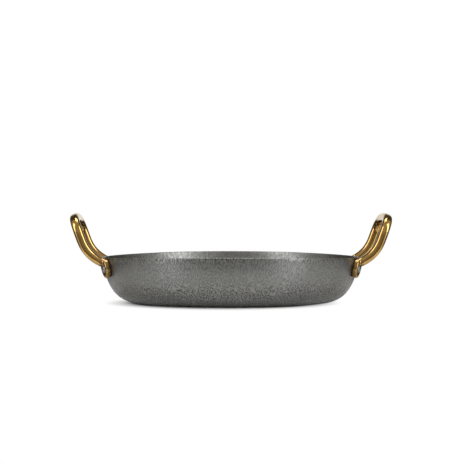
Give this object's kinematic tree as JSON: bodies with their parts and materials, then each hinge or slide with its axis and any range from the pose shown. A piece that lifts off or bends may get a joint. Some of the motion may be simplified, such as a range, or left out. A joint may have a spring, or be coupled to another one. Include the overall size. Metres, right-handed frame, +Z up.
{
  "type": "serving pan",
  "caption": "Shallow round steel serving pan with a flared wall, an all-over etched surface and raised brass loop handles riveted to opposite sides.",
  "frame": {"origin": "middle of the flat base, on the table", "axes": "+Z up, +X through the middle of the right handle, +Y away from the viewer"},
  "size_m": [0.2476, 0.2, 0.0692],
  "materials": {
    "pan_steel": "darkened steel, etched all over with a fine floral pattern",
    "handle_brass": "polished cast brass with a light brown patina",
    "rivet_steel": "plain satin"
  },
  "bodies": {
    "root": {"pan_body": "pan_steel", "handle_left": "handle_brass", "handle_right": "handle_brass", "rivet_left_front": "rivet_steel", "rivet_left_back": "rivet_steel", "rivet_right_front": "rivet_steel", "rivet_right_back": "rivet_steel"}
  },
  "joints": []
}
